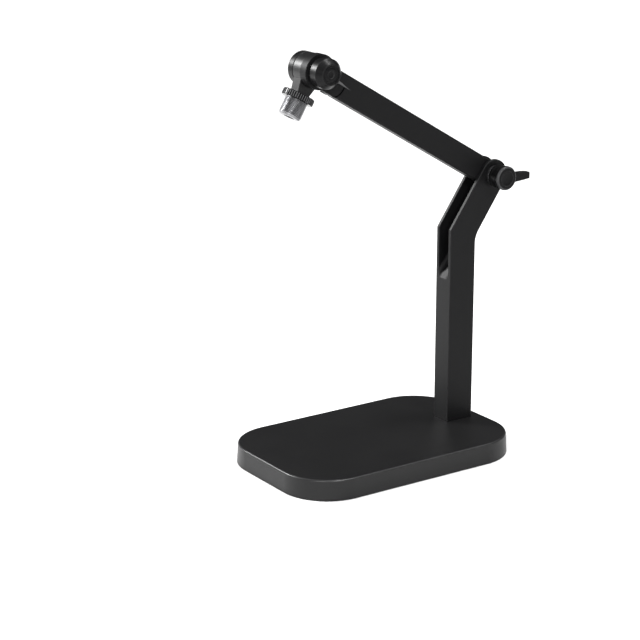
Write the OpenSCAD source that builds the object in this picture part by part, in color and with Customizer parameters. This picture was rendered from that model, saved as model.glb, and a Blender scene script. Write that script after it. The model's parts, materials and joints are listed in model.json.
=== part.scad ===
// Boom microphone stand: a weighted base, a fixed riser whose forked top leans back, a straight arm on a
// clamped elbow, and a tilting lug that ends in a 5/8 inch microphone thread with a knurled lock ring.
// The origin is the centre of the base on the table. +Z is up and +X points from the microphone to the riser.

/* [Base] */
// Length of the base along X at its top face
base_l = 180; // [160:1:220]
// Width of the base along Y at its top face
base_w = 118; // [100:1:150]
// Height of the base's top face above the table
base_h = 14.7; // [12.5:0.1:18]
// Corner radius of the top outline
base_r = 35.2; // [20:0.1:45]
// How far each side wall slopes out from top to bottom
base_draft = 0.6; // [0:0.1:1.5]
// Radius of the rounded top edge
base_edge = 1; // [0.5:0.1:2]

/* [Riser] */
// Front face of the riser, along X
riser_x = 59.4; // [50:0.1:62]
// Depth of the upright part, along X
riser_d = 21.8; // [18:0.1:24]
// Width of the riser, along Y
riser_w = 15.8; // [14:0.1:18]
// Angle by which the forked top leans back
lean = 34.8; // [25:0.1:45]
// Width of the leaning part, across its length
fork_w = 22; // [20:0.1:25]
// Width of the slot between the two plates
slot_w = 10.7; // [10.6:0.02:11.5]
// Thickness of the wall behind the slot
web_t = 1.4; // [1.2:0.1:3]

/* [Elbow] */
// Elbow pivot, along X
elbow_x = 96.9; // [90:0.1:105]
// Elbow pivot, above the table
elbow_z = 190.1; // [180:0.1:215]
// Radius of the clamping knob
elbow_knob_r = 8.5; // [8:0.1:12]
// Reach of the knob's wing from the pivot
wing_reach = 20.4; // [15:0.1:30]

/* [Arm] */
// Distance between the elbow and the tilt pivot
arm_l = 169.6; // [120:0.1:220]
// Angle of the arm above the horizontal
arm_angle = 30.6; // [0:0.1:60]
// Height of the arm's section
arm_h = 17.5; // [14:0.1:18]
// Thickness of the arm's section
arm_t = 10; // [8:0.1:10]

/* [Tilt head] */
// Radius of the arm's eye
arm_eye_r = 11.8; // [11:0.1:13]
// Radius of the lug's eye and of the end cap
lug_eye_r = 11.3; // [10:0.1:12]
// Radius of the tilt knob
tilt_knob_r = 10.1; // [8.5:0.1:12]
// Thickness of the lug
lug_t = 8.6; // [8:0.1:11]
// Distance from the tilt pivot to the lug's end face
lug_l = 17.1; // [16:0.1:24]
// Outer radius of the lock ring
ring_r = 11; // [10:0.1:14]
// Thickness of the lock ring
ring_t = 4.4; // [3.5:0.1:7]
// Length of thread that stands out past the lock ring
thread_l = 12; // [8:0.5:16]

/* [Hidden] */
$fn = 64;
eps = 0.01;

// Base: the cover's rim hangs just above the table, and the rubber pad carries the weight.
rim_z = 0.2;
wall = 4;
top_t = 2.5;
pad_t = 2.2;
fit_gap = 0.3;
ceiling_z = base_h - top_t;
pocket_r = base_r - wall;
edge_steps = 4;
post_r = 5;
post_x = base_l / 2 - 24;
post_y = base_w / 2 - 16;
post_z = 6.2;
screw_r = 2;
screw_head_r = 3.8;
screw_head_h = 1.8;

// Riser bolts: M6, side by side under the riser, through a clamp plate.
bolt_r = 3;
bolt_spacing = 10.4;
bolt_head_r = 4.9;
bolt_head_h = 3;
riser_cx = riser_x + riser_d / 2;
plate_l = 27.4;
plate_w = 15.4;
plate_t = 2;
plate_z = 5.4;
tap_depth = 15;

// Riser outline: where the upright's two faces meet the leaning part.
bend_r = 14;
half_fork = fork_w / 2;
front_bend_z = elbow_z - ((elbow_x - riser_x) * cos(lean) - half_fork) / sin(lean);
back_bend_z = elbow_z - ((elbow_x - riser_x - riser_d) * cos(lean) + half_fork) / sin(lean);
bend_run = bend_r * tan(lean / 2);
web_top = -3;

// Elbow stack, along Y from the far plate to the near knob.
shank_clearance = 0.05;
bushing_r = 4.5;
hole_r = 3.3;
neck_w = 7;
head_h = 2.5;
elbow_head_r = 7;
friction_gap = 0.02;
friction_r = 8;
washer_r = 7;
washer_t = 1.2;
spring_t = 1;
elbow_boss_y = -riser_w / 2 - 3.6;
elbow_cyl_y = -riser_w / 2 - 13;
elbow_face_y = -riser_w / 2 - 14.3;
elbow_face_r = elbow_knob_r - 0.65;
wing_y = elbow_face_y + 0.5;
wing_t = 3.4;
wing_root_h = 6.6;
wing_tip_h = 4.8;
insert_r = 5;
insert_end = 3;
cap_r = 5.4;
cap_t = 1.6;

// Arm: the end by the tilt head is notched below its middle, and a moulded insert fills the notch.
half_h = arm_h / 2;
arm_drop = 0.5;
arm_low = -half_h - arm_drop;
arm_chamfer = 1;
hub_gap = 0.3;
flare_s = 29;
flare_t = half_h - arm_drop - arm_chamfer;
notch_s = 14.5;
notch_t = -1.7;
notch_r = 9.9;
insert_gap = 1.1;
insert_drop = 0.1;
insert_half_t = 4.8;
insert_screw_s = 18;
insert_far_s = 14.2;
m3_r = 1.5;
m3_head_r = 2.75;

// Tilt stack, along Y from the end cap to the knob.
eye_y = -7.2;
eye_back = -0.6;
disc_t = 0.45;
lug_y0 = eye_back + disc_t;
lug_y1 = lug_y0 + lug_t;
lug_mid = (lug_y0 + lug_y1) / 2;
cap_y0 = lug_y1 + disc_t;
end_cap_t = 6.1;
tilt_head_r = 6.5;
tilt_head_h = 3;
flat_w = 5;
tilt_washer_r = 8.4;
tilt_washer_t = 1;
tilt_boss_y = eye_y - 1.9;
tilt_cyl_y = -15.8;
tilt_face_y = -20;
tilt_face_r = 7;
tilt_cap_r = 4.6;
neck_top_w = 15;
neck_end_w = 9.6;
neck_top_s = 7.3;

// Microphone thread: 5/8 inch, 27 turns to the inch.
thread_r = 7.94;
thread_root_r = 7.2;
ring_gap = 0.4;
ring_s = lug_l + ring_gap;
stud_end = ring_s + ring_t + thread_l;
spigot_l = 9;
spigot_r = 3;

// Places its children at the elbow pivot, turned so that the arm runs along -X.
module at_elbow() {
    translate([elbow_x, 0, elbow_z]) rotate([0, arm_angle, 0]) children();
}

// Places its children at the tilt pivot, turned so that the arm runs along +X and the stem along -Z.
module at_tilt() {
    at_elbow() translate([-arm_l, 0, 0]) children();
}

// Extrudes an outline drawn in X and Z from y0 to y1.
module side(y0, y1) {
    translate([0, y1, 0]) rotate([90, 0, 0]) linear_extrude(y1 - y0) children();
}

// A cylinder along Y from y0 to y1.
module rod(r, y0, y1) {
    translate([0, y1, 0]) rotate([90, 0, 0]) cylinder(r = r, h = y1 - y0);
}

// A ring along Y from y0 to y1.
module washer(r, bore, y0, y1) {
    difference() {
        rod(r, y0, y1);
        rod(bore, y0 - 1, y1 + 1);
    }
}

// A body turned about Y: each point of the outline is a radius and a distance towards -Y.
module turned(outline) {
    rotate([90, 0, 0]) rotate_extrude() polygon(outline);
}

// A rounded rectangle with true arcs at its corners.
module rounded(l, w, r) {
    square([l - 2 * r, w], center = true);
    square([l, w - 2 * r], center = true);
    for (x = [-1, 1], y = [-1, 1]) translate([x * (l / 2 - r), y * (w / 2 - r)]) circle(r);
}

// The four screw places under the cover.
module at_posts() {
    for (x = [-1, 1], y = [-1, 1]) translate([x * post_x, y * post_y, 0]) children();
}

// The two riser bolt places.
module at_riser_bolts() {
    for (x = [-1, 1]) translate([riser_cx + x * bolt_spacing / 2, 0, 0]) children();
}

// Cast cover: sloping walls, a rounded top edge, a pocket for the weight and four screw posts.
module base_cover() {
    wall_outline = concat(
        [[0, rim_z], [base_r + base_draft, rim_z]],
        [for (i = [0:edge_steps]) [
            base_r - base_edge * (1 - cos(90 * i / edge_steps)),
            base_h - base_edge * (1 - sin(90 * i / edge_steps))]],
        [[0, base_h]]);
    color("#262627") union() {
        difference() {
            hull() for (x = [-1, 1], y = [-1, 1])
                translate([x * (base_l / 2 - base_r), y * (base_w / 2 - base_r), 0])
                    rotate_extrude($fn = 72) polygon(wall_outline);
            translate([0, 0, rim_z - 1]) linear_extrude(ceiling_z - rim_z + 1)
                rounded(base_l - 2 * wall, base_w - 2 * wall, pocket_r);
            at_riser_bolts() cylinder(r = hole_r, h = base_h + 1);
        }
        at_posts() difference() {
            translate([0, 0, post_z]) cylinder(r = post_r, h = ceiling_z - post_z + eps);
            translate([0, 0, post_z - 1]) cylinder(r = screw_r, h = ceiling_z - post_z);
        }
    }
}

// Cast iron ballast: fills the pocket, with clearance for the posts, the screws and the clamp plate.
module base_weight() {
    ledge_z = pad_t + screw_head_h + 0.2;
    color("#3a3836") difference() {
        translate([0, 0, pad_t]) linear_extrude(ceiling_z - pad_t)
            rounded(base_l - 2 * wall - 2 * fit_gap, base_w - 2 * wall - 2 * fit_gap, pocket_r - fit_gap);
        at_posts() {
            translate([0, 0, post_z]) cylinder(r = post_r + fit_gap, h = base_h);
            cylinder(r = screw_r + fit_gap, h = base_h);
            translate([0, 0, pad_t - 1]) cylinder(r = screw_head_r + fit_gap, h = ledge_z - pad_t + 1);
        }
        at_riser_bolts() cylinder(r = hole_r, h = base_h);
        translate([riser_cx, 0, pad_t - 1]) linear_extrude(plate_z + plate_t - pad_t + 1)
            rounded(plate_l + 2 * fit_gap, plate_w + 2 * fit_gap, 3);
    }
}

// Rubber sheet under the ballast.
module base_pad() {
    inset = 0.2;
    color("#1b1b1b") linear_extrude(pad_t)
        rounded(base_l - 2 * wall - 2 * inset, base_w - 2 * wall - 2 * inset, pocket_r - inset);
}

// Four screws that hold the ballast up in the cover.
module base_screws() {
    head_z = pad_t + 0.1;
    color("silver") at_posts() {
        translate([0, 0, head_z]) cylinder(r = screw_head_r, h = screw_head_h);
        translate([0, 0, head_z]) cylinder(r = screw_r - eps, h = 7.8);
    }
}

// Steel plate that spreads the load of the two riser bolts.
module riser_clamp_plate() {
    color("silver") difference() {
        translate([riser_cx, 0, plate_z]) linear_extrude(plate_t) rounded(plate_l, plate_w, 3);
        at_riser_bolts() cylinder(r = hole_r, h = base_h);
    }
}

// Two button-head bolts up into the riser.
module riser_bolts() {
    color("silver") at_riser_bolts() {
        translate([0, 0, plate_z]) cylinder(r = bolt_r - eps, h = base_h + tap_depth - 1 - plate_z);
        difference() {
            translate([0, 0, plate_z - bolt_head_h]) cylinder(r = bolt_head_r, h = bolt_head_h);
            translate([0, 0, plate_z - bolt_head_h - 1]) cylinder(r = 2.3, h = 2.8, $fn = 6);
        }
    }
}

// Outline of the riser from the side: upright, inner bend, leaning part and round end.
module riser_outline() {
    polygon([
        [riser_x, base_h],
        [riser_x + riser_d, base_h],
        [riser_x + riser_d, back_bend_z],
        [elbow_x + half_fork * cos(lean), elbow_z - half_fork * sin(lean)],
        [elbow_x - half_fork * cos(lean), elbow_z + half_fork * sin(lean)],
        [riser_x, front_bend_z]]);
    translate([elbow_x, elbow_z]) circle(half_fork);
    difference() {
        polygon([
            [riser_x + riser_d - 1, back_bend_z - bend_run],
            [riser_x + riser_d, back_bend_z - bend_run],
            [riser_x + riser_d + bend_run * sin(lean), back_bend_z + bend_run * cos(lean)],
            [riser_x + riser_d - 1, back_bend_z + bend_run]]);
        translate([riser_x + riser_d + bend_r, back_bend_z - bend_run]) circle(bend_r);
    }
}

// Everything in front of the slot's floor, which lies parallel to the leaning part, and above the web's top.
module slot_outline() {
    reach = 140;
    translate([elbow_x, elbow_z]) rotate(-lean) {
        translate([-reach, -reach]) square([reach + half_fork - web_t, 2 * reach]);
        translate([-reach, web_top]) square([2 * reach, reach]);
    }
}

// Cast riser: a solid upright whose leaning top is slotted into two plates.
module riser() {
    color("#262627") difference() {
        side(-riser_w / 2, riser_w / 2) riser_outline();
        side(-slot_w / 2, slot_w / 2) intersection() {
            slot_outline();
            translate([0, base_h + tap_depth + 5]) square([2 * elbow_x, 2 * elbow_z]);
        }
        translate([elbow_x, 0, elbow_z]) {
            rod(hole_r, -riser_w, 0);
            rotate([0, -lean, 0]) translate([-neck_w / 2 - 0.05, 0, -neck_w / 2 - 0.05])
                cube([neck_w + 0.1, riser_w, neck_w + 0.1]);
        }
        at_riser_bolts() cylinder(r = bolt_r, h = base_h + tap_depth);
    }
}

// Elbow bolt: a flat round head and a square neck in the far plate, and a shank through to the knob.
module elbow_bolt() {
    far = riser_w / 2;
    color("#3c3c3e") translate([elbow_x, 0, elbow_z]) difference() {
        union() {
            rod(elbow_head_r, far, far + head_h);
            rotate([0, -lean, 0]) translate([-neck_w / 2, slot_w / 2, -neck_w / 2])
                cube([neck_w, far - slot_w / 2, neck_w]);
            rod(bolt_r, elbow_face_y + insert_end + 0.5, far + 1);
        }
        translate([0, far + head_h + 1, 0]) rotate([90, 0, 0]) cylinder(r = 2.3, h = 2.6, $fn = 6);
    }
}

// Thin discs that fill the gaps between the arm and the plates.
module elbow_friction_discs() {
    color("#1b1b1b") translate([elbow_x, 0, elbow_z]) for (s = [0, 1]) mirror([0, s, 0])
        washer(friction_r, bolt_r + 0.2, arm_t / 2 + friction_gap, slot_w / 2 - friction_gap);
}

// Flat washer on the near plate.
module elbow_washer() {
    color("#2a2a2b") translate([elbow_x, 0, elbow_z])
        washer(washer_r, bolt_r + 0.2, -riser_w / 2 - washer_t, -riser_w / 2);
}

// Dished spring washer that keeps the clamp tight.
module elbow_disc_spring() {
    back = riser_w / 2 + washer_t;
    color("silver") translate([elbow_x, 0, elbow_z]) turned([
        [bolt_r + 0.2, back + 0.4],
        [washer_r - 0.4, back],
        [washer_r - 0.4, back + 0.5],
        [bolt_r + 0.2, back + spring_t]]);
}

// Moulded elbow knob with a short wing at its outer face.
module elbow_knob() {
    boss = riser_w / 2 + washer_t + spring_t + 0.05;
    color("#262627") translate([elbow_x, 0, elbow_z]) difference() {
        union() {
            turned([
                [0, boss],
                [washer_r, boss],
                [washer_r, -elbow_boss_y],
                [elbow_knob_r, -elbow_boss_y],
                [elbow_knob_r, -elbow_cyl_y],
                [elbow_face_r, -elbow_face_y],
                [0, -elbow_face_y]]);
            side(wing_y, wing_y + wing_t) polygon([
                [0, -wing_root_h / 2],
                [elbow_knob_r - 1, -wing_root_h / 2],
                [wing_reach, -wing_tip_h / 2],
                [wing_reach, wing_tip_h / 2],
                [elbow_knob_r + 2, wing_root_h / 2],
                [0, wing_root_h / 2]]);
        }
        rod(insert_r, elbow_face_y + insert_end, 0);
        rod(cap_r, elbow_face_y - 1, elbow_face_y + cap_t);
    }
}

// Brass threaded insert of the elbow knob.
module elbow_knob_insert() {
    color("#b08d3c") translate([elbow_x, 0, elbow_z])
        washer(insert_r - eps, bolt_r + shank_clearance, elbow_face_y + insert_end + eps, elbow_boss_y + 1);
}

// Plain disc that closes the elbow knob's face.
module elbow_knob_cap() {
    color("#1f1f20") translate([elbow_x, 0, elbow_z]) rod(cap_r - eps, elbow_face_y, elbow_face_y + cap_t - eps);
}

// Plain bearing pressed into the arm at the elbow.
module elbow_bushing() {
    color("#c9c2a8") translate([elbow_x, 0, elbow_z])
        washer(bushing_r - eps, bolt_r + shank_clearance, -arm_t / 2, arm_t / 2);
}

// Arm: a chamfered bar, round at the elbow, whose upper half flares over a sloping ledge into the eye of the
// tilt head. Its centre line lies a little below the two pivots.
module arm_bar() {
    c = arm_chamfer;
    y = arm_t / 2;
    color("#262627") at_tilt() difference() {
        union() {
            intersection() {
                side(-y, y) {
                    translate([0, arm_low]) square([arm_l, arm_h]);
                    translate([arm_l, -arm_drop]) circle(half_h);
                }
                rotate([90, 0, 90]) linear_extrude(arm_l + arm_h) translate([0, -arm_drop]) polygon([
                    [-y, -half_h + c], [-y + c, -half_h], [y - c, -half_h], [y, -half_h + c],
                    [y, half_h - c], [y - c, half_h], [-y + c, half_h], [-y, half_h - c]]);
            }
            intersection() {
                linear_extrude(arm_h) polygon([
                    [0, eye_back], [0, eye_y], [arm_eye_r, eye_y], [flare_s, -y], [flare_s, eye_back]]);
                rotate([90, 0, 90]) linear_extrude(flare_s) polygon([
                    [eye_back, 0], [-y, 0], [eye_y, -eye_y - y], [eye_y, flare_t], [eye_back, flare_t]]);
            }
            rod(arm_eye_r, eye_y, eye_back);
        }
        side(eye_back, arm_t) circle(arm_eye_r + hub_gap);
        side(-arm_t, arm_t) difference() {
            union() {
                translate([0, -arm_h]) square([notch_s, arm_h]);
                intersection() {
                    translate([notch_s, notch_t]) circle(notch_r);
                    translate([0, -arm_h]) square([arm_l, arm_h]);
                }
            }
            circle(arm_eye_r);
        }
        side(eye_y - 1, 1) intersection() {
            circle(bolt_r + shank_clearance);
            square([arm_h, flat_w + 2 * shank_clearance], center = true);
        }
        translate([insert_screw_s, 0, -eps]) cylinder(r = m3_r, h = flare_t - 1);
        translate([arm_l, 0, 0]) rod(bushing_r, -arm_t, arm_t);
    }
}

// Moulded insert with a round shoulder, under the flared half of the arm.
module arm_end_insert() {
    color("#2b2b2c") at_tilt() difference() {
        side(-insert_half_t, insert_half_t) intersection() {
            union() {
                translate([0, arm_low - insert_drop]) square([notch_s, arm_h]);
                translate([notch_s, notch_t]) circle(notch_r - insert_gap);
            }
            translate([0, arm_low - insert_drop]) square([arm_l, insert_drop - arm_low - eps]);
        }
        side(-arm_t, arm_t) circle(arm_eye_r + hub_gap);
        side(eye_back, arm_t) translate([0, -arm_h]) square([insert_far_s, 2 * arm_h]);
        translate([insert_screw_s, 0, -arm_h]) {
            cylinder(r = m3_r + 0.1, h = arm_h);
            cylinder(r = m3_head_r + 0.15, h = arm_h + arm_low + 2);
        }
    }
}

// Screw that holds the insert, driven from below.
module arm_insert_screw() {
    head = arm_low + 2;
    color("silver") at_tilt() translate([insert_screw_s, 0, head]) difference() {
        union() {
            cylinder(r = m3_r - eps, h = 4 - arm_low);
            translate([0, 0, -2]) cylinder(r = m3_head_r, h = 2);
        }
        translate([0, 0, -3]) cylinder(r = 1.2, h = 2.2, $fn = 6);
    }
}

// Tilt bolt: a head in the end cap, a shank through the lug, and two flats keyed in the arm's eye.
module tilt_bolt() {
    color("#3c3c3e") at_tilt() {
        rod(tilt_head_r, cap_y0, cap_y0 + tilt_head_h);
        rod(bolt_r, eye_back, cap_y0 + 1);
        side(eye_y, eye_back) intersection() {
            circle(bolt_r);
            square([arm_h, flat_w], center = true);
        }
        rod(bolt_r, tilt_face_y + insert_end + 0.5, eye_y);
    }
}

// Thin discs on both faces of the lug.
module tilt_friction_discs() {
    color("#1b1b1b") at_tilt() for (y = [eye_back, lug_y1])
        washer(lug_eye_r - 1, bolt_r + 0.2, y + friction_gap, y + disc_t - friction_gap);
}

// Round cap over the bolt's head on the far side.
module tilt_end_cap() {
    c = 0.8;
    color("#262627") at_tilt() difference() {
        mirror([0, 1, 0]) turned([
            [bolt_r + 0.2, cap_y0],
            [lug_eye_r - c / 2, cap_y0],
            [lug_eye_r, cap_y0 + c / 2],
            [lug_eye_r, cap_y0 + end_cap_t - c],
            [lug_eye_r - c, cap_y0 + end_cap_t],
            [0, cap_y0 + end_cap_t],
            [0, cap_y0 + tilt_head_h],
            [bolt_r + 0.2, cap_y0 + tilt_head_h]]);
        rod(tilt_head_r + eps, 0, cap_y0 + tilt_head_h + eps);
    }
}

// Flat washer on the arm's eye.
module tilt_washer() {
    color("#2a2a2b") at_tilt() washer(tilt_washer_r, bolt_r + 0.2, eye_y - tilt_washer_t, eye_y);
}

// Dished spring washer under the tilt knob.
module tilt_disc_spring() {
    back = -eye_y + tilt_washer_t;
    color("silver") at_tilt() turned([
        [bolt_r + 0.2, back + 0.3],
        [tilt_washer_r - 0.6, back],
        [tilt_washer_r - 0.6, back + 0.4],
        [bolt_r + 0.2, back + 0.75]]);
}

// Moulded round tilt knob with a bevelled face.
module tilt_knob() {
    color("#262627") at_tilt() difference() {
        turned([
            [0, -tilt_boss_y],
            [tilt_knob_r - 0.5, -tilt_boss_y],
            [tilt_knob_r, -tilt_boss_y + 0.5],
            [tilt_knob_r, -tilt_cyl_y],
            [tilt_face_r, -tilt_face_y],
            [0, -tilt_face_y]]);
        rod(insert_r, tilt_face_y + insert_end, 0);
        rod(tilt_cap_r + 0.2, tilt_face_y - 1, tilt_face_y + cap_t);
    }
}

// Brass threaded insert of the tilt knob.
module tilt_knob_insert() {
    color("#b08d3c") at_tilt()
        washer(insert_r - eps, bolt_r + shank_clearance, tilt_face_y + insert_end + eps, tilt_boss_y - 0.3);
}

// Plain disc set into the tilt knob's face.
module tilt_knob_cap() {
    color("#1f1f20") at_tilt() rod(tilt_cap_r, tilt_face_y + 0.6, tilt_face_y + cap_t - eps);
}

// Lug: a round eye with a tapering neck that carries the microphone stud.
module mic_lug() {
    color("#262627") at_tilt() difference() {
        side(lug_y0, lug_y1) {
            circle(lug_eye_r);
            polygon([
                [-neck_top_w / 2, -neck_top_s],
                [-neck_end_w / 2, -lug_l],
                [neck_end_w / 2, -lug_l],
                [neck_top_w / 2, -neck_top_s]]);
        }
        rod(bushing_r, -1, cap_y0 + 1);
        translate([0, lug_mid, -lug_l - 1]) cylinder(r = spigot_r, h = spigot_l + 1.5);
    }
}

// Plain bearing pressed into the lug.
module tilt_bushing() {
    color("#c9c2a8") at_tilt() washer(bushing_r - eps, bolt_r + shank_clearance, lug_y0, lug_y1);
}

// Microphone stud: a spigot screwed into the lug, and the 5/8 inch thread.
module mic_stud() {
    tip = 1;
    color("#8a8a8c") at_tilt() translate([0, lug_mid, 0]) mirror([0, 0, 1]) difference() {
        union() {
            translate([0, 0, lug_l - spigot_l]) cylinder(r = spigot_r - eps, h = spigot_l + 1);
            rotate_extrude() polygon([
                [0, lug_l],
                [thread_root_r, lug_l],
                [thread_root_r, ring_s + ring_t],
                [thread_r, ring_s + ring_t],
                [thread_r, stud_end - tip],
                [thread_r - tip, stud_end],
                [0, stud_end]]);
        }
        translate([0, 0, stud_end - 5]) cylinder(r = 4, h = 6, $fn = 6);
    }
}

// Knurled ring that locks the microphone on its thread.
module lock_ring() {
    c = 0.5;
    bore = thread_root_r + 0.06;
    color("#1f1f20") at_tilt() translate([0, lug_mid, -ring_s]) mirror([0, 0, 1]) rotate_extrude() polygon([
        [bore, 0],
        [ring_r - c, 0],
        [ring_r, c],
        [ring_r, ring_t - c],
        [ring_r - c, ring_t],
        [bore, ring_t]]);
}

base_cover();
base_weight();
base_pad();
base_screws();
riser_clamp_plate();
riser_bolts();
riser();
elbow_bolt();
elbow_friction_discs();
elbow_washer();
elbow_disc_spring();
elbow_knob();
elbow_knob_insert();
elbow_knob_cap();
elbow_bushing();
arm_bar();
arm_end_insert();
arm_insert_screw();
tilt_bolt();
tilt_friction_discs();
tilt_end_cap();
tilt_washer();
tilt_disc_spring();
tilt_knob();
tilt_knob_insert();
tilt_knob_cap();
mic_lug();
tilt_bushing();
mic_stud();
lock_ring();
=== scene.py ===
import json
from math import atan2, ceil, cos, hypot, pi, radians, sin, tau

import bmesh
import bpy
from mathutils import Matrix, Vector


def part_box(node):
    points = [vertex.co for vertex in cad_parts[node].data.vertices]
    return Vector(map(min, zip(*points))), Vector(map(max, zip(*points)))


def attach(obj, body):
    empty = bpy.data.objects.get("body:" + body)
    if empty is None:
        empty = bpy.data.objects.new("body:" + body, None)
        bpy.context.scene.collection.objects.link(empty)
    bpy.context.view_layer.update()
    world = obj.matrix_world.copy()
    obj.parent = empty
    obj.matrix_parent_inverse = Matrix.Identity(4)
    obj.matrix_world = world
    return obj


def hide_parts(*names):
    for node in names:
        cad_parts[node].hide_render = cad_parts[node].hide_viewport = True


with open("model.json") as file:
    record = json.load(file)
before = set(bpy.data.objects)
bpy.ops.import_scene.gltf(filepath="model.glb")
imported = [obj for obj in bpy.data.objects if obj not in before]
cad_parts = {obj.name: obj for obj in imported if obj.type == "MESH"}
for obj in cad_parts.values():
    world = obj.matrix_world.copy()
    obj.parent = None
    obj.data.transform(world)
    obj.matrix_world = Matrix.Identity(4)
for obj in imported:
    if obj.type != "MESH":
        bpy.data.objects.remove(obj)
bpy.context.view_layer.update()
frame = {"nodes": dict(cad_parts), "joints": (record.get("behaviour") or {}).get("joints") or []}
scene = bpy.context.scene

# Camera: stands in front of the microphone's end of the base, a little above the arm, and looks down at the
# base over a long lens.
aim = Vector((-0.0152, 0.0434, 0.0907))
azimuth, elevation, distance = radians(-34.18), radians(17.01), 1.3948
backwards = Vector((sin(azimuth) * cos(elevation), -cos(azimuth) * cos(elevation), sin(elevation)))
camera = bpy.data.objects.new("camera", bpy.data.cameras.new("camera"))
camera.data.lens = 111.83
camera.location = aim + backwards * distance
camera.rotation_euler = (-backwards).to_track_quat("-Z", "Y").to_euler()
scene.collection.objects.link(camera)
scene.camera = camera
scene.view_settings.view_transform = "Standard"

# Studio: a dark room. A very wide soft light and a smaller one overhead wash the floor white, and a third
# faces the stand from the front. A softbox behind the left side draws the bright bands on the turned parts,
# and another fills in from the front left.
world = bpy.data.worlds.new("room")
world.use_nodes = True
world.node_tree.nodes["Background"].inputs["Color"].default_value = (0.07, 0.07, 0.072, 1)
scene.world = world


def lamp(name, kind, place, energy, **settings):
    """A light at a place in metres that faces the middle of the stand."""
    light = bpy.data.objects.new(name, bpy.data.lights.new(name, kind))
    light.data.energy = energy
    for setting, value in settings.items():
        setattr(light.data, setting, value)
    light.location = place
    light.rotation_euler = (Vector(place) - Vector((0, 0, 0.13))).to_track_quat("Z", "Y").to_euler()
    scene.collection.objects.link(light)


lamp("overhead", "SUN", (0.3, -0.4, 1.6), 1.4, angle=radians(100))
lamp("top_window", "SUN", (0.28, -0.15, 1.06), 2.2, angle=radians(16))
lamp("front_key", "SUN", (-0.2, -1.1, 1.0), 1.4, angle=radians(16))
lamp("back_softbox", "AREA", (-0.8, 0.95, 0.82), 38, shape="RECTANGLE", size=0.35, size_y=0.35)
lamp("front_softbox", "AREA", (-1.2, -1.0, 0.72), 13, shape="RECTANGLE", size=0.4, size_y=0.4)

# Floor: one wide sheet of matt white paper that runs out of sight on every side.
paper_size, paper_level = 30, 0.73
floor_mesh = bmesh.new()
bmesh.ops.create_grid(floor_mesh, x_segments=1, y_segments=1, size=paper_size / 2)
floor = bpy.data.objects.new("floor", bpy.data.meshes.new("floor"))
floor_mesh.to_mesh(floor.data)
floor_mesh.free()
paper = bpy.data.materials.new("paper")
paper.use_nodes = True
paper.node_tree.nodes["Principled BSDF"].inputs["Base Color"].default_value = (paper_level,) * 3 + (1,)
paper.node_tree.nodes["Principled BSDF"].inputs["Roughness"].default_value = 0.9
paper.node_tree.nodes["Principled BSDF"].inputs["Specular IOR Level"].default_value = 0.1
floor.data.materials.append(paper)
scene.collection.objects.link(floor)


# Base cover: one iron casting, a low slab with round corners, sides that slope out a little and a hollow
# underside. It is powder coated satin black, with a fine orange-peel grain, and the coat thins on its edges.
class Wire:
    """One socket in a finish. Arithmetic on wires adds Math nodes, and node() adds any other node."""

    def __init__(self, tree, socket=None):
        self.tree = tree
        self.socket = socket

    def node(self, kind, settings=(), sockets=(), out=0):
        made = self.tree.nodes.new(kind)
        for name, value in dict(settings).items():
            if name == "stops":
                for index, (position, level) in enumerate(value):
                    stops = made.color_ramp.elements
                    stop = stops[index] if index < len(stops) else stops.new(position)
                    stop.position = position
                    stop.color = (level, level, level, 1)
            else:
                setattr(made, name, value)
        for name, value in dict(sockets).items():
            if isinstance(value, Wire):
                self.tree.links.new(value.socket, made.inputs[name])
            else:
                made.inputs[name].default_value = value
        return Wire(self.tree, made.outputs[out] if made.outputs else None)

    def math(self, operation, first, second):
        return self.node("ShaderNodeMath", {"operation": operation}, {0: first, 1: second})

    def __add__(self, other):
        return self.math("ADD", self, other)

    def __sub__(self, other):
        return self.math("SUBTRACT", self, other)

    def __rsub__(self, other):
        return self.math("SUBTRACT", other, self)

    def __mul__(self, other):
        return self.math("MULTIPLY", self, other)

    __radd__ = __add__
    __rmul__ = __mul__


def begin_finish(name):
    """A new finish: its material and the wire that all its nodes start from."""
    material = bpy.data.materials.new(name)
    material.use_nodes = True
    material.node_tree.nodes.clear()
    return material, Wire(material.node_tree)


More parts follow.
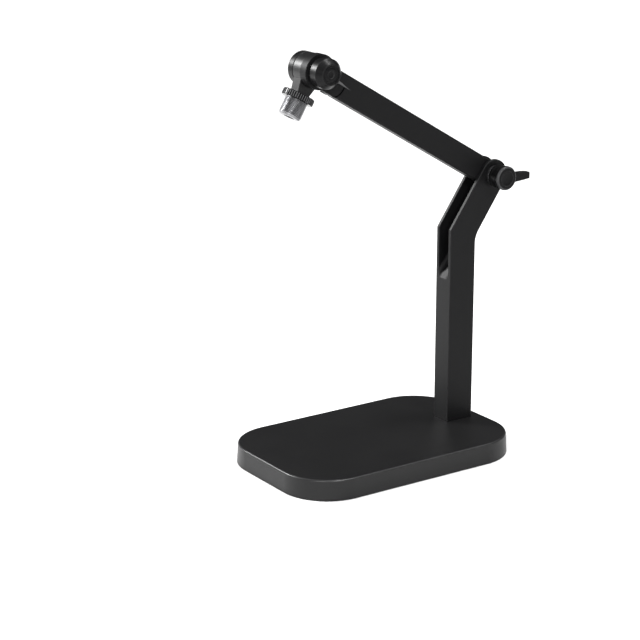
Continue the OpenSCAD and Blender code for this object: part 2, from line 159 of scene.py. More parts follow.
def black_coat(name, dark, wear_and_highlight_colour, roughness, specular, grain, height):
    """Black coat that turns from dark to a paler colour on marked faces: thinner coat on eased edges, and
    painted highlights where a piece marks faces for them. Grain is its bumps to a millimetre.
    """
    material, wire = begin_finish(name)
    place = wire.node("ShaderNodeTexCoord", out="Object")
    peel = wire.node("ShaderNodeTexNoise", {}, {"Vector": place, "Scale": grain * 1000, "Detail": 3.0})
    cloud = wire.node("ShaderNodeTexNoise", {}, {"Vector": place, "Scale": 22.0, "Detail": 4.0})
    rub = wire.node("ShaderNodeTexNoise", {}, {"Vector": place, "Scale": 140.0, "Detail": 5.0})
    edge = wire.node("ShaderNodeAttribute", {"attribute_name": "wear_and_painted_highlight"}, out="Fac")
    wear_and_highlight = edge * wire.node("ShaderNodeValToRGB", {"stops": [(0.3, 0.4), (0.7, 1)]}, {"Fac": rub})
    mottle = (cloud - 0.5) * 0.35 + (peel - 0.5) * 0.3 + 0.5
    coat = wire.node("ShaderNodeMix", {"data_type": "RGBA"}, {
        "Factor": mottle, 6: (*(0.82 * level for level in dark), 1),
        7: (*(1.18 * level for level in dark), 1)}, out=2)
    colour = wire.node("ShaderNodeMix", {"data_type": "RGBA"}, {
        "Factor": wear_and_highlight, 6: coat, 7: (*wear_and_highlight_colour, 1)}, out=2)
    bump = wire.node("ShaderNodeBump", {}, {"Height": peel, "Strength": 0.35, "Distance": height * 0.001})
    shine = (cloud - 0.5) * 0.14 + (peel - 0.5) * 0.12 - wear_and_highlight * 0.08 + roughness
    shader = wire.node("ShaderNodeBsdfPrincipled", {}, {
        "Base Color": colour, "Roughness": shine, "Specular IOR Level": specular, "Normal": bump})
    wire.node("ShaderNodeOutputMaterial", {}, {"Surface": shader})
    return material


def corners(node):
    """The lowest and highest corner of a CAD node, in millimetres."""
    low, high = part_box(node)
    return low * 1000, high * 1000


def ease(bm, width, segments=3, which=lambda edge: True):
    """Rounds the sharp edges that which() picks, and marks the new faces as eased."""
    mark = bm.faces.layers.float.get("wear_and_painted_highlight") or bm.faces.layers.float.new("wear_and_painted_highlight")
    sharp = [e for e in bm.edges if e.is_manifold and e.calc_face_angle() > radians(28) and which(e)]
    rounded = bmesh.ops.bevel(bm, geom=sharp, offset=width, offset_type="OFFSET", affect="EDGES",
                              segments=segments, profile=0.5, material=-1, clamp_overlap=True)
    for face in rounded["faces"]:
        face[mark] = 1


def round_edges(bm, which, width, segments):
    """Rounds the edges that which() picks without marking them, for corners and bends."""
    bmesh.ops.bevel(bm, geom=[e for e in bm.edges if which(e)], offset=width, offset_type="OFFSET",
                    affect="EDGES", segments=segments, profile=0.5, material=-1)


def slab(low, high, corner):
    """A block between two points, in millimetres, with its upright edges rounded."""
    bm = bmesh.new()
    bmesh.ops.create_cube(bm, size=1, matrix=Matrix.Translation((low + high) / 2)
                          @ Matrix.Diagonal((*(high - low), 1)))
    round_edges(bm, lambda edge: abs(edge.verts[0].co.z - edge.verts[1].co.z) > 1, corner, 28)
    return bm


def fit(bm, name, finish, body, nodes, place=Matrix()):
    """Makes a mesh in millimetres a piece of a body, moved to its place, and fits it for its CAD nodes."""
    bm.transform(Matrix.Scale(0.001, 4) @ place)
    bmesh.ops.recalc_face_normals(bm, faces=bm.faces)
    piece = bpy.data.objects.new(name, bpy.data.meshes.new(name))
    bm.to_mesh(piece.data)
    bm.free()
    piece.data.shade_smooth()
    piece.data.set_sharp_from_angle(angle=radians(32))
    piece.data.materials.append(finish)
    scene.collection.objects.link(piece)
    piece.modifiers.new("even_shading", "WEIGHTED_NORMAL").keep_sharp = True
    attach(piece, body)
    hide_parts(*nodes)


powder_coat = black_coat("powder_coat", (0.0038, 0.0038, 0.004), (0.016, 0.016, 0.0165), 0.4, 0.31, 1.7, 0.05)
cover_low, cover_high = corners("base_cover")
cover_size = cover_high - cover_low
cover_corner, cover_draft, cover_wall, cover_roof, top_round, foot_round = 35.2, 0.6, 4, 2.5, 1.2, 0.4
cover = slab(cover_low, cover_high, cover_corner)
bmesh.ops.scale(cover, verts=[v for v in cover.verts if v.co.z > cover_high.z - 0.1],
                vec=(1 - 2 * cover_draft / cover_size.x, 1 - 2 * cover_draft / cover_size.y, 1))
ease(cover, top_round, 5, lambda edge: min(v.co.z for v in edge.verts) > cover_high.z - 0.1)
ease(cover, foot_round, 2, lambda edge: max(v.co.z for v in edge.verts) < cover_low.z + 0.1)
cover.faces.ensure_lookup_table()
underside = min(cover.faces, key=lambda face: face.calc_center_median().z - face.calc_area())
bmesh.ops.inset_region(cover, faces=[underside], thickness=cover_wall - foot_round, depth=0)
roof = bmesh.ops.extrude_face_region(cover, geom=[underside])["geom"]
bmesh.ops.translate(cover, verts=[v for v in roof if isinstance(v, bmesh.types.BMVert)],
                    vec=(0, 0, cover_size.z - cover_roof))
bmesh.ops.delete(cover, geom=[underside], context="FACES_ONLY")
fit(cover, "base_cover_coated", powder_coat, "stand", ["base_cover"])


# Base pad: a sheet of black rubber glued under the ballast. A raised border grips the table round a
# field that is cut back a little.
def plain_black(name, dark, roughness, specular, scale, height):
    """Rubber, fibre or waxy plastic: one colour with a soft mottle, a matt sheen and a fine crumb."""
    material, wire = begin_finish(name)
    place = wire.node("ShaderNodeTexCoord", out="Object")
    crumb = wire.node("ShaderNodeTexNoise", {}, {"Vector": place, "Scale": scale * 1000, "Detail": 4.0})
    cloud = wire.node("ShaderNodeTexNoise", {}, {"Vector": place, "Scale": 60.0, "Detail": 3.0})
    colour = wire.node("ShaderNodeMix", {"data_type": "RGBA"}, {
        "Factor": (cloud - 0.5) * 0.7 + (crumb - 0.5) * 0.5 + 0.5,
        6: (*(0.75 * level for level in dark), 1), 7: (*(1.25 * level for level in dark), 1)}, out=2)
    bump = wire.node("ShaderNodeBump", {}, {"Height": crumb, "Strength": 0.5, "Distance": height * 0.001})
    shader = wire.node("ShaderNodeBsdfPrincipled", {}, {
        "Base Color": colour, "Roughness": (crumb - 0.5) * 0.2 + roughness, "Specular IOR Level": specular,
        "Normal": bump})
    wire.node("ShaderNodeOutputMaterial", {}, {"Surface": shader})
    return material


rubber = plain_black("rubber", (0.018, 0.018, 0.018), 0.85, 0.25, 0.9, 0.12)
pad_low, pad_high = corners("base_pad")
pad_gap, tread_depth, tread_slope = 0.2, 0.5, 0.6
pad = slab(pad_low, pad_high, cover_corner - cover_wall - pad_gap)
ease(pad, 0.4, 2)
pad.faces.ensure_lookup_table()
tread = min(pad.faces, key=lambda face: face.calc_center_median().z - face.calc_area())
for border, depth in ((5, 0), (tread_slope, -tread_depth), (9, 0), (tread_slope, tread_depth), (3, 0),
                      (tread_slope, -tread_depth)):
    bmesh.ops.inset_region(pad, faces=[tread], thickness=border, depth=depth)
fit(pad, "base_pad_rubber", rubber, "stand", ["base_pad"])


# Inside the base: a cast iron ballast block, four screws that hold it up in the cover, and the steel plate
# and two bolts that clamp the riser. All of it is hidden by the pad.
def bare_metal(name, bright, roughness, streak, scale=1.0, metallic=1.0):
    """Bare or plated metal with fine turning lines round the Y axis, as deep as streak says."""
    material, wire = begin_finish(name)
    place = wire.node("ShaderNodeTexCoord", out="Object")
    along = wire.node("ShaderNodeMapping", {}, {"Vector": place, "Scale": (60, 2600 * scale, 60)})
    lines = wire.node("ShaderNodeTexNoise", {}, {"Vector": along, "Scale": 1.0, "Detail": 3.0})
    stain = wire.node("ShaderNodeTexNoise", {}, {"Vector": place, "Scale": 260.0, "Detail": 5.0})
    edge = wire.node("ShaderNodeAttribute", {"attribute_name": "wear_and_painted_highlight"}, out="Fac")
    colour = wire.node("ShaderNodeMix", {"data_type": "RGBA"}, {
        "Factor": (stain - 0.5) * 0.8 + (lines - 0.5) * streak + edge * 0.35 + 0.4,
        6: (*(0.72 * level for level in bright), 1),
        7: (*(min(1.25 * level, 1) for level in bright), 1)}, out=2)
    bump = wire.node("ShaderNodeBump", {}, {"Height": lines, "Strength": 0.3 * streak, "Distance": 0.00004})
    shader = wire.node("ShaderNodeBsdfPrincipled", {}, {
        "Base Color": colour, "Roughness": (lines - 0.5) * 0.2 * streak + (stain - 0.5) * 0.2 + roughness,
        "Metallic": metallic, "Normal": bump})
    wire.node("ShaderNodeOutputMaterial", {}, {"Surface": shader})
    return material


def refinish(finish, *nodes):
    """Gives CAD nodes that keep their own shape their finish."""
    for node in nodes:
        mesh = frame["nodes"][node].data
        mesh.materials.clear()
        mesh.materials.append(finish)


cast_iron = bare_metal("cast_iron", (0.06, 0.055, 0.05), 0.7, 0.2, metallic=0.6)
zinc = bare_metal("zinc", (0.55, 0.55, 0.56), 0.32, 0.8)
refinish(cast_iron, "base_weight")
refinish(zinc, "base_screws", "riser_clamp_plate", "riser_bolts")

# Riser: a cast bar with a coat like the base's, but less glossy. It stands straight, leans back at a round
# inner bend, and its top is slotted into two plates with a round end. The slot's floor has round corners and
# runs out at the front face.
cast_coat = black_coat("cast_coat", (0.0045, 0.0045, 0.0048), (0.016, 0.016, 0.0165), 0.45, 0.135, 1.7, 0.05)
ELBOW, TILT = (next(Vector(joint["pos_m"]) * 1000 for joint in frame["joints"] if joint["name"] == name)
               for name in ("elbow_pitch", "head_tilt"))
riser_low, riser_high = corners("riser")
riser_depth, lean, half_fork = 21.8, radians(34.8), 11
slot_half, floor_offset, web_top, bend_radius = 5.35, 9.6, -3, 14
plate = riser_high.y - slot_half
backward = Vector((cos(lean), 0, -sin(lean)))
upward = Vector((sin(lean), 0, cos(lean)))


def lean_line(offset, x):
    """The point at x on the line beside the leaning part's axis, so far towards its back."""
    start = ELBOW + backward * offset
    return start + upward * ((x - start.x) / upward.x)


front_bend, back_bend = lean_line(-half_fork, riser_low.x), lean_line(half_fork, riser_low.x + riser_depth)
floor_exit = lean_line(floor_offset, riser_low.x)
floor_top, web_back = (ELBOW + backward * offset + upward * web_top for offset in (floor_offset, half_fork))
round_steps = 32
round_end = [ELBOW + (backward * cos(pi * step / round_steps)
                      + upward * sin(pi * step / round_steps)) * half_fork for step in range(round_steps + 1)]
foot = [Vector((x, 0, riser_low.z)) for x in (riser_low.x, riser_low.x + riser_depth)]

riser = bmesh.new()
spots = {name: riser.verts.new((point.x, riser_low.y, point.z)) for name, point in (
    ("front_foot", foot[0]), ("back_foot", foot[1]), ("back_bend", back_bend), ("web_back", web_back),
    ("floor_top", floor_top), ("floor_exit", floor_exit), ("front_bend", front_bend))}
arc = [riser.verts.new((point.x, riser_low.y, point.z)) for point in round_end]
solid = riser.faces.new([spots[name] for name in (
    "front_foot", "back_foot", "back_bend", "web_back", "floor_top", "floor_exit")])
plates = riser.faces.new([spots["floor_exit"], spots["floor_top"], spots["web_back"], *arc,
                          spots["front_bend"]])
inner = bmesh.ops.extrude_face_region(riser, geom=[solid, plates])["geom"]
bmesh.ops.translate(riser, verts=[v for v in inner if isinstance(v, bmesh.types.BMVert)], vec=(0, plate, 0))
core = next(face for face in inner if isinstance(face, bmesh.types.BMFace) and len(face.verts) == 6)
middle = bmesh.ops.extrude_face_region(riser, geom=[core])["geom"]
bmesh.ops.translate(riser, verts=[v for v in middle if isinstance(v, bmesh.types.BMVert)],
                    vec=(0, slot_half, 0))
bmesh.ops.delete(riser, geom=[core, *(face for face in middle if isinstance(face, bmesh.types.BMFace))],
                 context="FACES_ONLY")
bmesh.ops.mirror(riser, geom=[*riser.verts, *riser.edges, *riser.faces], axis="Y", merge_dist=0.01)
bmesh.ops.recalc_face_normals(riser, faces=riser.faces)
bmesh.ops.dissolve_limit(riser, angle_limit=radians(0.5), verts=riser.verts, edges=riser.edges)


def at(point):
    """Picks edges across the riser that pass through a point of its outline."""
    return lambda edge: all(hypot(v.co.x - point.x, v.co.z - point.z) < 0.05 for v in edge.verts)


front_round, floor_round, riser_edge = 0.8, 3, 0.45
bend_run = bend_radius * sin(lean / 2) / cos(lean / 2)
round_edges(riser, at(back_bend), bend_run, 10)
round_edges(riser, at(front_bend), front_round, 4)
floor_along = (floor_top - floor_exit).normalized()
round_edges(riser, lambda edge: abs(abs(edge.verts[0].co.y) - slot_half) < 0.01
            and abs(abs(edge.verts[1].co.y) - slot_half) < 0.01 and edge.calc_length() > 20
            and abs((edge.verts[0].co - edge.verts[1].co).normalized().dot(floor_along)) > 0.9999
            and abs((edge.verts[0].co - floor_exit).dot(backward)) < 0.05, floor_round, 6)
ease(riser, riser_edge, 3, lambda edge: all(abs(v.co.y) > riser_high.y - 0.01 for v in edge.verts)
     and max(v.co.z for v in edge.verts) > riser_low.z + 0.01)
ease(riser, riser_edge, 3, lambda edge: all(abs(v.co.y) < slot_half + 0.01 for v in edge.verts)
     and max(v.co.z for v in edge.verts) > riser_low.z + 0.01)
fit(riser, "riser_coated", cast_coat, "stand", ["riser"])


# Elbow hardware: a black bolt with a round head on the far plate, fibre discs beside the arm, and a washer
# and a dished spring under the knob. The head, the washer and the spring are turned, and a hexagon key fits
# the head.
def turned(outline, steps=96, ring=False):
    """Spins an outline of (radius, distance along Y) points a full turn about the Y axis."""
    bm = bmesh.new()
    points = [bm.verts.new((radius, y, 0)) for radius, y in outline]
    ahead = points[1:] + points[:1] if ring else points[1:]
    lines = [bm.edges.new(pair) for pair in zip(points, ahead)]
    bmesh.ops.spin(bm, geom=points + lines, cent=(0, 0, 0), axis=(0, 1, 0), angle=tau, steps=steps,
                   use_merge=True)
    bmesh.ops.remove_doubles(bm, verts=bm.verts, dist=1e-4)
    bmesh.ops.recalc_face_normals(bm, faces=bm.faces)
    return bm


def key_socket(bm, radius, floor_y):
    """Squeezes a turned hole, from its floor up, into a hexagon whose corners lie at its radius."""
    for vert in bm.verts:
        if vert.co.y > floor_y - 0.01 and 0.01 < hypot(vert.co.x, vert.co.z) < radius + 0.01:
            turn = atan2(vert.co.z, vert.co.x) % (pi / 3) - pi / 6
            squeeze = cos(pi / 6) / cos(turn)
            vert.co.x *= squeeze
            vert.co.z *= squeeze


def washer(node, radius, dish=0, edge=None):
    """A washer as long as its CAD node. A dished one leans out by dish, and its edge is thinner."""
    low, high = corners(node)
    edge = edge or high.y - low.y
    return turned([(bore, high.y - dish), (radius, high.y), (radius, high.y - edge), (bore, low.y)],
                  ring=True)


AT_ELBOW = Matrix.Translation(ELBOW)
black_steel = bare_metal("black_steel", (0.03, 0.03, 0.031), 0.36, 0.7, metallic=0.5)
fibre = plain_black("fibre", (0.03, 0.028, 0.026), 0.9, 0.2, 1.4, 0.1)
bolt_low, bolt_high = corners("elbow_bolt")
bolt_radius, key_radius, key_depth, head_radius = 3, 2.6, 1.6, 7
bore = bolt_radius + 0.2
key_floor = bolt_high.y - key_depth
bolt = turned([(0, key_floor), (key_radius, key_floor), (key_radius, bolt_high.y),
               (head_radius, bolt_high.y), (head_radius, riser_high.y), (bolt_radius, riser_high.y),
               (bolt_radius, bolt_low.y), (0, bolt_low.y)])
key_socket(bolt, key_radius, key_floor)
ease(bolt, 0.4, 3, lambda edge: all(hypot(v.co.x, v.co.z) > head_radius - 0.1 for v in edge.verts))
fit(bolt, "elbow_bolt_black", black_steel, "stand", ["elbow_bolt"], AT_ELBOW)

washer_low, washer_high = corners("elbow_washer")
elbow_washer = washer("elbow_washer", (washer_high.z - washer_low.z) / 2)
ease(elbow_washer, 0.2, 2)
fit(elbow_washer, "elbow_washer_black", black_steel, "stand", ["elbow_washer"], AT_ELBOW)

spring_low, spring_high = corners("elbow_disc_spring")
elbow_spring = washer("elbow_disc_spring", (spring_high.z - spring_low.z) / 2, 0.4, 0.55)
ease(elbow_spring, 0.1, 2)
fit(elbow_spring, "elbow_spring_zinc", zinc, "stand", ["elbow_disc_spring"], AT_ELBOW)
refinish(fibre, "elbow_friction_discs")


# Elbow knob: moulded in black plastic round a brass insert. Two grooves run round its barrel, its rim is
# rounded and painted pale as a painted highlight, and a short wing points away from the arm. A plain disc
# closes its face.
def eased_copy(node, width, segments=2):
    """A CAD node's own shape in millimetres, joined up and with its sharp edges rounded."""
    bm = bmesh.new()
    bm.from_mesh(frame["nodes"][node].data)
    bmesh.ops.scale(bm, vec=(1000, 1000, 1000), verts=bm.verts)
    bmesh.ops.remove_doubles(bm, verts=bm.verts, dist=1e-3)
    bmesh.ops.dissolve_limit(bm, angle_limit=radians(1), verts=bm.verts, edges=bm.edges)
    ease(bm, width, segments)
    return bm


# moulded's pale colour is a painted highlight on the knob's rim, and wear on the wing's and the disc's eased
# edges.
moulded = black_coat("moulded", (0.003, 0.003, 0.0032), (0.055, 0.055, 0.057), 0.34, 0.12, 3.2, 0.02)
brass = bare_metal("brass", (0.72, 0.52, 0.2), 0.3, 0.8)
elbow_knob_back, barrel_start, barrel_front = -riser_high.y - 2.25, -11.5, corners("elbow_knob")[0].y
boss_radius, barrel_radius, groove_radius, rim_radius, rim_round, rim_steps = 7, 8.2, 7.8, 8.5, 1.7, 6
insert_radius, insert_seat, disc_pocket, disc_seat = 5, 3, 5.4, 1.6
grooves = [point for start, after, width in ((barrel_start - 1.9, barrel_radius, 1),
                                             (barrel_start - 6.6, rim_radius, 1.1))
           for point in ((barrel_radius, start), (groove_radius, start - 0.2), (groove_radius, start - 0.8),
                         (after, start - width))]
rim = [(rim_radius - rim_round + rim_round * cos(pi / 2 * step / rim_steps),
        barrel_front + rim_round - rim_round * sin(pi / 2 * step / rim_steps))
       for step in range(rim_steps + 1)]
elbow_knob = turned([(insert_radius, elbow_knob_back), (boss_radius, elbow_knob_back),
                     (boss_radius, barrel_start), (barrel_radius, barrel_start), *grooves, *rim,
                     (disc_pocket, barrel_front), (disc_pocket, barrel_front + disc_seat),
                     (insert_radius, barrel_front + disc_seat),
                     (insert_radius, barrel_front + insert_seat)], ring=True)
wing_front, wing_thick, wing_start, wing_tip, wing_half = barrel_front + 0.5, 3.4, 4, 20.4, 3.3
wing_outline = [(wing_start, -wing_half), (7.5, -wing_half), (14, -2.95), (19.6, -2.4), (20.2, -2.2),
                (wing_tip, -1.7), (wing_tip, 1.9), (20.1, 2.3), (19.4, 2.55), (17, 2.95), (14, 3.2),
                (11, wing_half), (wing_start, wing_half)]
wing_face = elbow_knob.faces.new([elbow_knob.verts.new((x, wing_front, z)) for x, z in wing_outline])
wing = bmesh.ops.extrude_face_region(elbow_knob, geom=[wing_face])["geom"]
bmesh.ops.translate(elbow_knob, verts=[v for v in wing if isinstance(v, bmesh.types.BMVert)],
                    vec=(0, wing_thick, 0))
ease(elbow_knob, 0.5, 3, lambda edge: min(v.co.x for v in edge.verts) > rim_radius + 0.1
     and abs(edge.verts[0].co.y - edge.verts[1].co.y) < 0.01)
# The rim's faces are marked all round for the pale colour: a painted highlight.
painted_rim_highlight = elbow_knob.faces.layers.float["wear_and_painted_highlight"]
for face in elbow_knob.faces:
    spot = face.calc_center_median()
    if hypot(spot.x, spot.z) < rim_radius and barrel_front + 0.1 < spot.y < barrel_front + rim_round:
        face[painted_rim_highlight] = 1
fit(elbow_knob, "elbow_knob_moulded", moulded, "elbow_clamp", ["elbow_knob"], AT_ELBOW)
disc_low, disc_high = corners("elbow_knob_cap")
disc_radius, disc_border, disc_slope = (disc_high.z - disc_low.z) / 2, 1.1, 0.5
disc_field = disc_low.y + 0.25
disc = turned([(0, disc_field), (disc_radius - disc_border - disc_slope, disc_field),
               (disc_radius - disc_border, disc_low.y), (disc_radius, disc_low.y),
               (disc_radius, disc_high.y), (0, disc_high.y)])
ease(disc, 0.15, 2)
fit(disc, "elbow_knob_disc", moulded, "elbow_clamp", ["elbow_knob_cap"], AT_ELBOW)
refinish(brass, "elbow_knob_insert")

# Arm: an aluminium bar with chamfered edges and a round end in the riser's slot. Its upper half flares into
# the eye of the tilt head. The ledge beside the flare is painted pale, a painted highlight for the light that
# catches it, and a plastic bearing is pressed into each joint.
bearing = plain_black("bearing", (0.55, 0.5, 0.38), 0.55, 0.4, 0.8, 0.03)
# arm_coat's pale colour is a painted highlight on the ledge, and faint wear on the arm's other eased edges.
arm_coat = black_coat("arm_coat", (0.0045, 0.0045, 0.0048), (0.12, 0.12, 0.122), 0.5, 0.13, 1.7, 0.04)
arm_angle = atan2(TILT.z - ELBOW.z, ELBOW.x - TILT.x)
AT_TILT = Matrix.Translation(TILT) @ Matrix.Rotation(arm_angle, 4, "Y")
arm = eased_copy("arm_bar", 0.25)
ledge_start, ledge_end, ledge_low, ledge_high, other_wear = 11, 30, -0.2, 2.6, 0.12
# Faces on the ledge get the full pale colour as a painted highlight; other eased faces keep a little of it as
# wear.
wear_and_highlight_faces = arm.faces.layers.float["wear_and_painted_highlight"]
for face in arm.faces:
    spot = AT_TILT.inverted() @ face.calc_center_median()
    facing = AT_TILT.inverted().to_3x3() @ face.normal
    painted_highlight_on_ledge = (ledge_start < spot.x < ledge_end and ledge_low < spot.z < ledge_high
                and facing.y < -0.5 and facing.z < -0.5)
    face[wear_and_highlight_faces] = 1 if painted_highlight_on_ledge else face[wear_and_highlight_faces] * other_wear
fit(arm, "arm_coated", arm_coat, "arm", ["arm_bar"])
refinish(bearing, "elbow_bushing", "tilt_bushing")

# Arm end insert: a moulding with a round shoulder that fills the notch under the flared half of the arm. One
# screw with a dull zinc plating holds it from below.
insert_black = black_coat("insert_black", (0.005, 0.005, 0.0053), (0.014, 0.014, 0.0145), 0.6, 0.13, 3.2,
                          0.02)
fit(eased_copy("arm_end_insert", 0.25), "arm_insert_moulded", insert_black, "arm",
    ["arm_end_insert"])
dull_zinc = bare_metal("dull_zinc", (0.12, 0.12, 0.123), 0.5, 0.6)
refinish(dull_zinc, "arm_insert_screw")


# Tilt stack: a turned end cap over the bolt's head, fibre discs on both faces of the lug, and a washer and a
# dished spring under the knob. The cap is satin black, with fine turning lines and a chamfer on each rim.
def turned_black(name, dark, wear_and_highlight_colour, roughness, specular):
    """Satin black on turned parts: fine lines round the Y axis in the coat, and a paler colour on marked
    faces, for thinner coat on edges and for painted highlights where a piece marks faces for them.
    """
    material, wire = begin_finish(name)
    place = wire.node("ShaderNodeTexCoord", out="Object")
    along = wire.node("ShaderNodeMapping", {}, {"Vector": place, "Scale": (40, 3200, 40)})
    lines = wire.node("ShaderNodeTexNoise", {}, {"Vector": along, "Scale": 1.0, "Detail": 3.0})
    cloud = wire.node("ShaderNodeTexNoise", {}, {"Vector": place, "Scale": 120.0, "Detail": 4.0})
    edge = wire.node("ShaderNodeAttribute", {"attribute_name": "wear_and_painted_highlight"}, out="Fac")
    colour = wire.node("ShaderNodeMix", {"data_type": "RGBA"}, {
        "Factor": edge * 0.8 + (lines - 0.5) * 0.3 + (cloud - 0.5) * 0.2 + 0.05,
        6: (*dark, 1), 7: (*wear_and_highlight_colour, 1)}, out=2)
    bump = wire.node("ShaderNodeBump", {}, {"Height": lines, "Strength": 0.25, "Distance": 0.00004})
    shader = wire.node("ShaderNodeBsdfPrincipled", {}, {
        "Base Color": colour, "Roughness": (lines - 0.5) * 0.12 + (cloud - 0.5) * 0.1 + roughness,
        "Specular IOR Level": specular, "Normal": bump})
    wire.node("ShaderNodeOutputMaterial", {}, {"Surface": shader})
    return material


satin_black = turned_black("satin_black", (0.003, 0.003, 0.0032), (0.014, 0.014, 0.0145), 0.38, 0.14)
cap_low, cap_high = corners("tilt_end_cap")
cap_radius, cap_chamfer, cap_border, cap_slope, turn_steps = 11.3, 0.8, 2.7, 0.5, 128
cap_floor, cap_field = cap_low.y + 3, cap_high.y - 0.3
end_cap = turned([(bore, cap_low.y), (bore, cap_floor), (0, cap_floor), (0, cap_field),
                  (cap_radius - cap_border - cap_slope, cap_field), (cap_radius - cap_border, cap_high.y),
                  (cap_radius - cap_chamfer, cap_high.y), (cap_radius, cap_high.y - cap_chamfer),
                  (cap_radius, cap_low.y + cap_chamfer / 2), (cap_radius - cap_chamfer / 2, cap_low.y)],
                 turn_steps, ring=True)
ease(end_cap, 0.12, 2)
fit(end_cap, "tilt_end_cap_turned", satin_black, "arm", ["tilt_end_cap"], AT_TILT)

tilt_washer_radius = 8.4
tilt_washer = washer("tilt_washer", tilt_washer_radius)
ease(tilt_washer, 0.2, 2)
fit(tilt_washer, "tilt_washer_black", black_steel, "arm", ["tilt_washer"], AT_TILT)

tilt_spring = washer("tilt_disc_spring", tilt_washer_radius - 0.6, 0.3, 0.4)
ease(tilt_spring, 0.08, 2)
fit(tilt_spring, "tilt_spring_zinc", zinc, "arm", ["tilt_disc_spring"], AT_TILT)
refinish(fibre, "tilt_friction_discs")
refinish(black_steel, "tilt_bolt")

# Tilt knob: a turned black knob on a brass insert. Its face has a wide bevel and a ring-shaped groove round a
# plug that sits a little below it.
knob_low, knob_high = corners("tilt_knob")
knob_radius, knob_chamfer, knob_face, knob_shoulder = 10.1, 0.5, 7, -15.8
plug_radius, plug_seat, plug_gap, sunk, face_groove = 4.8, 1.6, 0.2, 0.5, 0.9
knob_satin = turned_black("knob_satin", (0.003, 0.003, 0.0032), (0.014, 0.014, 0.0145), 0.34, 0.14)
knob = turned([(insert_radius, knob_high.y), (knob_radius - knob_chamfer, knob_high.y),
               (knob_radius, knob_high.y - knob_chamfer), (knob_radius, knob_shoulder),
               (knob_face, knob_low.y), (knob_face - 0.9, knob_low.y),
               (knob_face - 1.1, knob_low.y + face_groove), (knob_face - 1.8, knob_low.y + face_groove),
               (knob_face - 1.9, knob_low.y + sunk), (plug_radius, knob_low.y + sunk),
               (plug_radius, knob_low.y + plug_seat), (0, knob_low.y + plug_seat),
               (0, knob_low.y + insert_seat), (insert_radius, knob_low.y + insert_seat)],
              turn_steps, ring=True)
ease(knob, 0.12, 2)
fit(knob, "tilt_knob_turned", knob_satin, "tilt_clamp", ["tilt_knob"], AT_TILT)
plug_low, plug_high = corners("tilt_knob_cap")
plug_field, plug_border, plug_edge = 2.2, 2.6, plug_radius - plug_gap
plug = turned([(0, plug_low.y + sunk), (plug_field, plug_low.y + sunk), (plug_border, plug_low.y),
               (plug_edge, plug_low.y), (plug_edge, plug_high.y), (0, plug_high.y)])
ease(plug, 0.15, 2)
fit(plug, "tilt_knob_plug", knob_satin, "tilt_clamp", ["tilt_knob_cap"], AT_TILT)
refinish(brass, "tilt_knob_insert")

# Lug: a flat round eye between the fibre discs, with a neck that tapers down to the microphone stud. It is
# machined and coated satin black.
lug_satin = turned_black("lug_satin", (0.004, 0.004, 0.0042), (0.014, 0.014, 0.0145), 0.4, 0.27)
fit(eased_copy("mic_lug", 0.4, 3), "mic_lug_machined", lug_satin, "head", ["mic_lug"])

# Stud: the microphone thread, cut 27 turns to the inch on a nickel plated steel stud, with a plain root under
# the lock ring and a hexagon key socket in its end.
nickel = bare_metal("nickel", (0.26, 0.26, 0.268), 0.36, 0.6, scale=0.5)
lug_low, lug_high = corners("mic_lug")
lug_middle = (lug_low.y + lug_high.y) / 2
ALONG_STEM = AT_TILT @ Matrix.Translation((0, lug_middle, 0)) @ Matrix.Rotation(-pi / 2, 4, "X")
neck_end, thread_start, thread_end = 17.1, 21.9, 33.9
root_radius, thread_radius, pitch, thread_tip = 7.2, 7.94, 25.4 / 27, 1
stud_key_radius, stud_key_floor, spigot_radius, spigot_length = 4, thread_end - 5, 3, 9
steps_per_turn, cut_share = 8, 0.8
cuts = ceil((thread_end - thread_tip - thread_start) / pitch * steps_per_turn)
thread_points = [(thread_radius, thread_start + (thread_end - thread_tip - thread_start) * step / cuts)
                 for step in range(cuts + 1)]
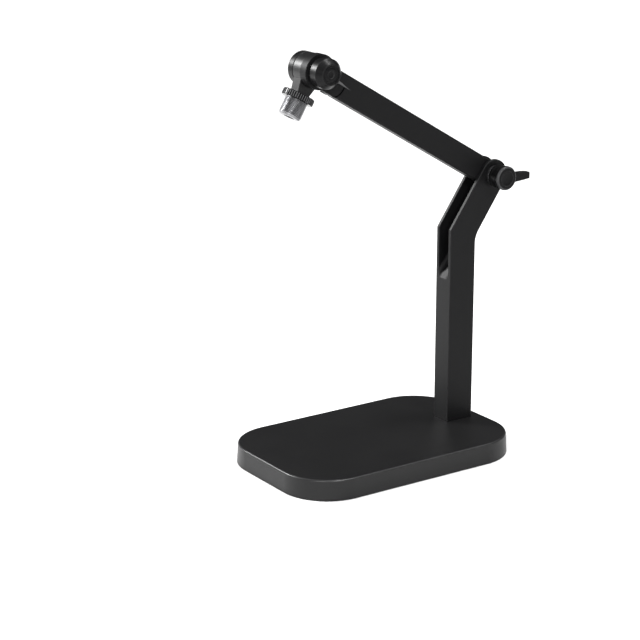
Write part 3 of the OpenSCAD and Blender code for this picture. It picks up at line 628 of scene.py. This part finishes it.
stud = turned([(0, neck_end - spigot_length), (spigot_radius, neck_end - spigot_length),
               (spigot_radius, neck_end), (root_radius, neck_end), (root_radius, thread_start),
               *thread_points, (thread_radius - thread_tip, thread_end), (stud_key_radius, thread_end),
               (stud_key_radius, stud_key_floor), (0, stud_key_floor)])
for vert in stud.verts:
    radius = hypot(vert.co.x, vert.co.z)
    if radius > thread_radius - 0.01:
        turns = (vert.co.y - thread_start) / pitch - atan2(vert.co.z, vert.co.x) / tau
        groove = abs(turns % 1 - 0.5) * 2 * (thread_radius - root_radius) * cut_share
        vert.co.x *= 1 - groove / radius
        vert.co.z *= 1 - groove / radius
key_socket(stud, stud_key_radius, stud_key_floor)
fit(stud, "mic_stud_nickel", nickel, "head", ["mic_stud"], ALONG_STEM)

# Lock ring: a glossy black ring that screws up against the microphone. Its rim is cut with a straight knurl
# between two chamfers.
# gloss_black's pale colour is a painted highlight, used only on the tops of the knurl ridges.
gloss_black = turned_black("gloss_black", (0.0025, 0.0025, 0.0027), (0.13, 0.13, 0.133), 0.2, 0.16)
ring_radius, ring_start, ring_chamfer, ring_bore = 11, 17.5, 0.5, root_radius + 0.06
ridges, ridge_steps, ridge_depth = 44, 4, 0.5
lock_ring = turned([(ring_bore, ring_start), (ring_radius - ring_chamfer, ring_start),
                    (ring_radius, ring_start + ring_chamfer), (ring_radius, thread_start - ring_chamfer),
                    (ring_radius - ring_chamfer, thread_start), (ring_bore, thread_start)],
                   ridges * ridge_steps, ring=True)
for vert in lock_ring.verts:
    radius = hypot(vert.co.x, vert.co.z)
    step = round(atan2(vert.co.z, vert.co.x) / tau * ridges * ridge_steps)
    if radius > ring_radius - 0.01 and step % ridge_steps < ridge_steps / 2:
        vert.co.x *= 1 - ridge_depth / radius
        vert.co.z *= 1 - ridge_depth / radius
# The tops of the knurl ridges are marked for the pale colour: painted highlights on the ridges.
painted_ridge_highlight = lock_ring.faces.layers.float.new("wear_and_painted_highlight")
for face in lock_ring.faces:
    face[painted_ridge_highlight] = float(all(hypot(v.co.x, v.co.z) > ring_radius - 0.01 for v in face.verts))
fit(lock_ring, "lock_ring_knurled", gloss_black, "lock_ring", ["lock_ring"], ALONG_STEM)
